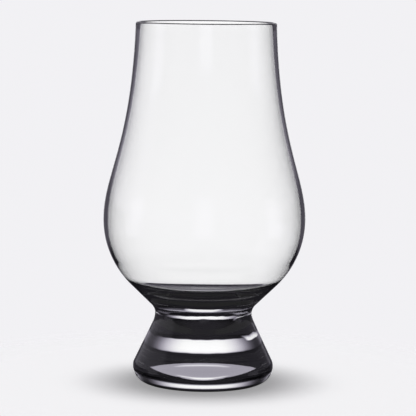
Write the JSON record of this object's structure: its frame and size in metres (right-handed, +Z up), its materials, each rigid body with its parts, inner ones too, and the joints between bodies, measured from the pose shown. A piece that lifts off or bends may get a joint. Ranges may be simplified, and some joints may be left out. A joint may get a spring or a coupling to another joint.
{
  "type": "tasting glass",
  "caption": "Clear crystal tasting glass: a tulip bowl that narrows to a thin rounded rim, fused to a short solid conical foot, for nosing and drinking spirits.",
  "frame": {"origin": "on the axis of the glass, in the plane of the ring that the foot stands on", "axes": "+Z up along the axis of revolution, towards the rim; X and Y are alike"},
  "size_m": [0.0644, 0.0644, 0.115],
  "materials": {
    "bowl_crystal": "clear, fire polished",
    "foot_crystal": "clear, pressed and polished"
  },
  "bodies": {
    "root": {"bowl": "bowl_crystal", "foot": "foot_crystal"}
  },
  "joints": []
}
